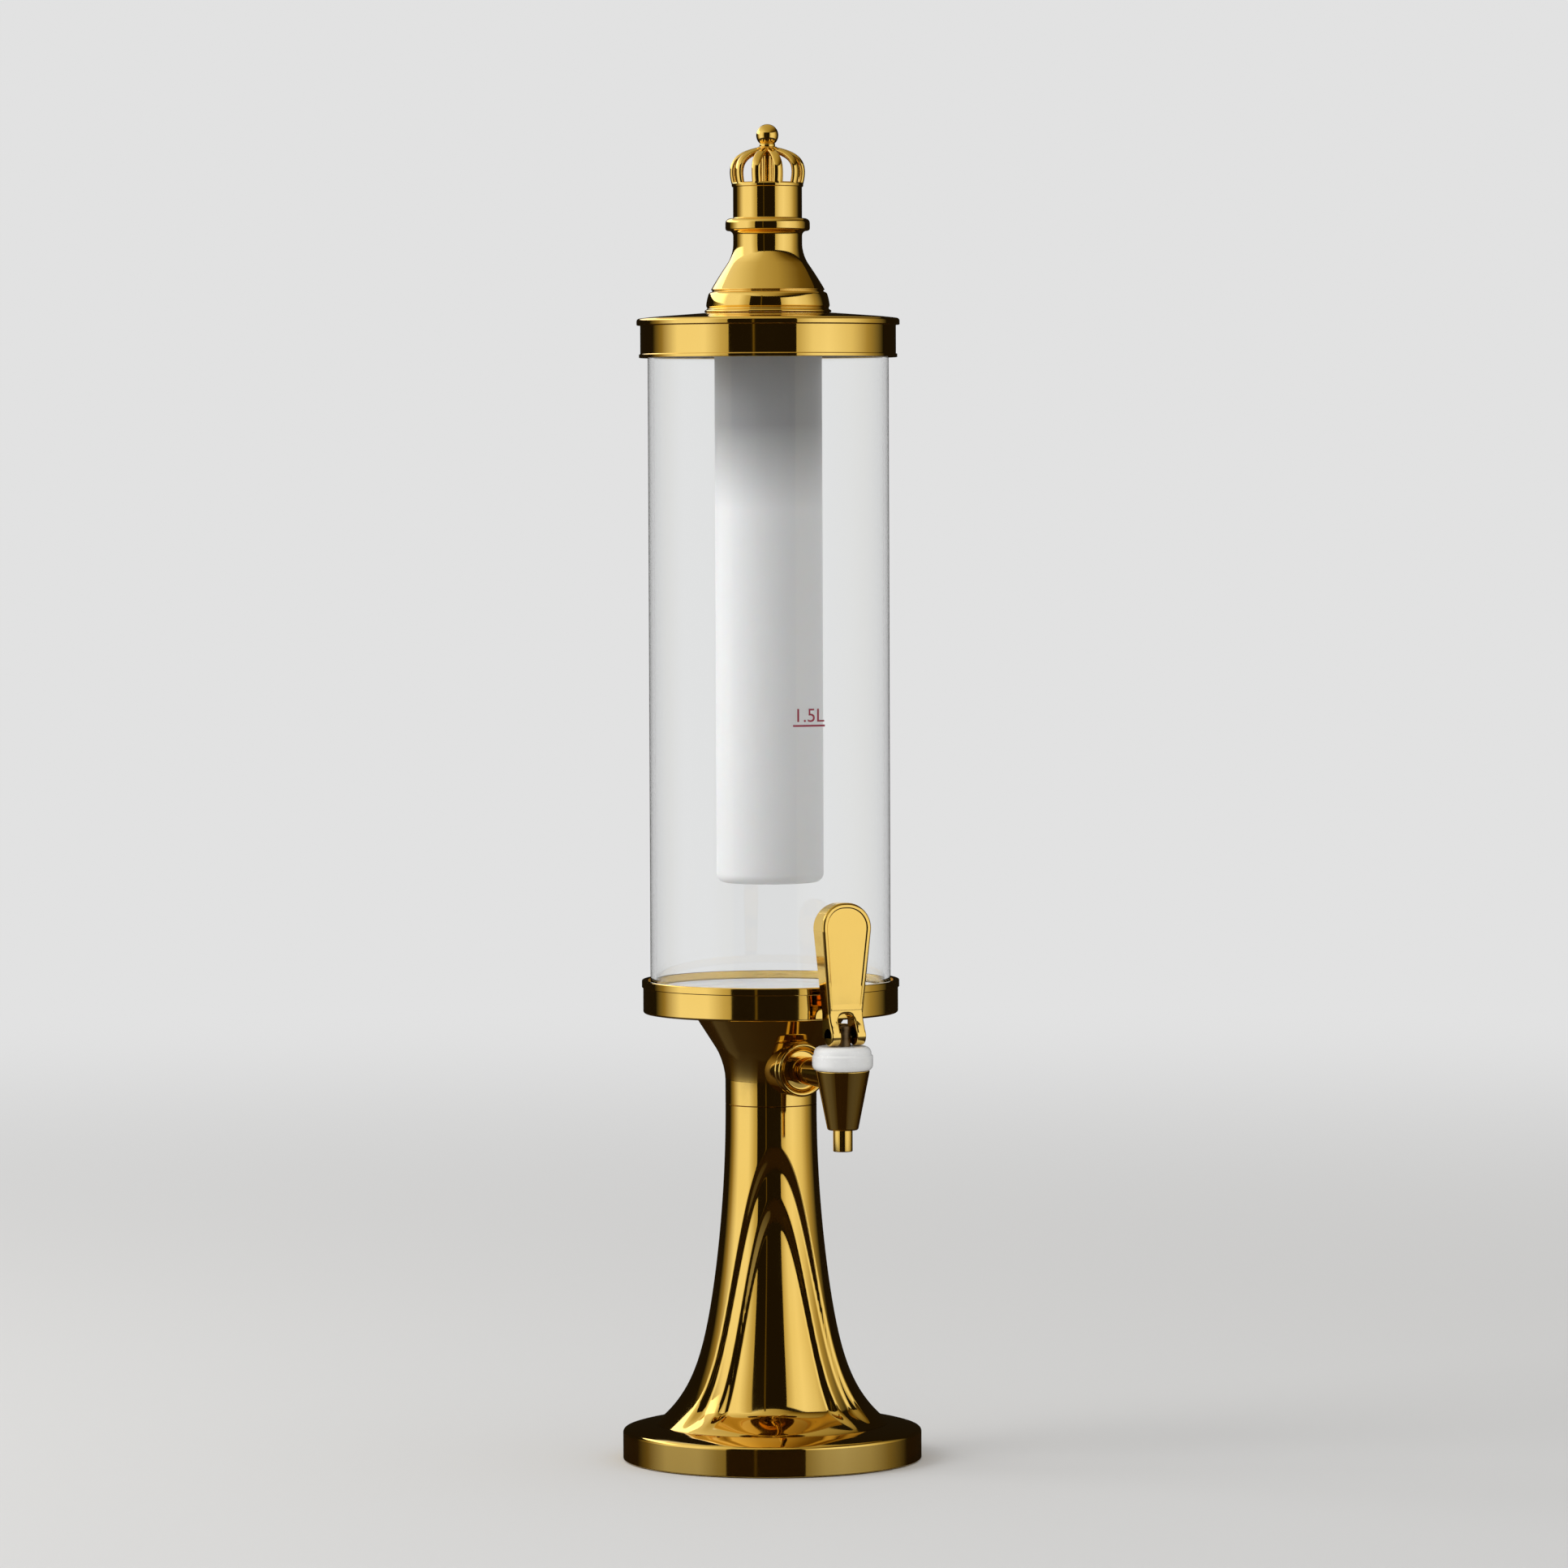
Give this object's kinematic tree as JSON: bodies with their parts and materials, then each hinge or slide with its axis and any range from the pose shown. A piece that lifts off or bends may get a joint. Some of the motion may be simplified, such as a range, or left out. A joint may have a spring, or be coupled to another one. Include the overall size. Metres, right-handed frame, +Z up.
{
  "type": "beer tower dispenser",
  "caption": "Free-standing gold table tower: round base, flared stem, tap with lever handle, clear drink tube, frosted ice tube, lid and crowned finial.",
  "frame": {"origin": "centre of the base's underside, on the axis of the tower", "axes": "+Z up along the tower, -Y towards the tap, +X to the right as seen from the tap's side"},
  "size_m": [0.162, 0.1812, 0.7224],
  "materials": {
    "polished_gold": "mirror-polished gold plating",
    "rubber_black": "matt rubber",
    "zinc_steel": "zinc-plated steel",
    "stainless": "turned stainless steel",
    "ballast_iron": "painted cast iron",
    "clear_acrylic": "clear polished acrylic",
    "frosted_white": "frosted translucent white",
    "white_plastic": "moulded white plastic",
    "silicone": "translucent silicone",
    "mark_red": "printed dark red film"
  },
  "bodies": {
    "tower": {"base_pad": "rubber_black", "base_plate": "zinc_steel", "base_screws": "zinc_steel", "base_ballast": "ballast_iron", "base_disc": "polished_gold", "stem": "polished_gold", "tie_rod": "zinc_steel", "tie_nuts": "zinc_steel", "tie_washers": "zinc_steel", "neck": "polished_gold", "cup": "polished_gold", "cup_screws": "stainless", "tube_gasket": "silicone", "beer_tube": "clear_acrylic", "tube_floor": "frosted_white", "level_mark": "mark_red", "drain_fitting": "white_plastic", "drain_washer": "silicone", "drain_nut": "white_plastic", "outlet_elbow": "silicone", "tap_collar": "polished_gold", "tap_body": "polished_gold", "spout_tip": "polished_gold", "shank_nut": "stainless", "shank_washer": "silicone", "bonnet": "white_plastic", "valve_bellows": "silicone"},
    "lid": {"lid": "polished_gold", "lid_gasket": "silicone", "ice_tube": "frosted_white", "ice_tube_nut": "white_plastic"},
    "finial": {"finial": "polished_gold", "finial_stopper": "white_plastic", "stopper_seal": "silicone", "finial_screw": "stainless", "crown": "polished_gold", "crown_ball": "polished_gold"},
    "plunger": {"plunger": "stainless", "valve_seal": "silicone", "pivot_pin": "stainless"},
    "handle": {"handle": "polished_gold"}
  },
  "joints": [
    {"name": "lid_lift", "type": "slide", "parent": "tower", "child": "lid", "axis": [0, 0, 1], "range_m": [0, 0.31]},
    {"name": "finial_lift", "type": "slide", "parent": "lid", "child": "finial", "axis": [0, 0, 1], "range_m": [0, 0.05]},
    {"name": "plunger_lift", "type": "slide", "parent": "tower", "child": "plunger", "axis": [0, 0, 1], "range_m": [0, 0.0028], "stiffness_N_per_m": 300, "springref_m": -0.004, "deforming": ["valve_bellows"]},
    {"name": "handle_tilt", "type": "hinge", "parent": "plunger", "child": "handle", "pos_m": [0, -0.084, 0.2358], "axis": [1, 0, 0], "range_deg": [0, 60]}
  ],
  "couplings": [
    {"joint": "plunger_lift", "follows": "handle_tilt", "m_per_rad": 0.00248}
  ]
}
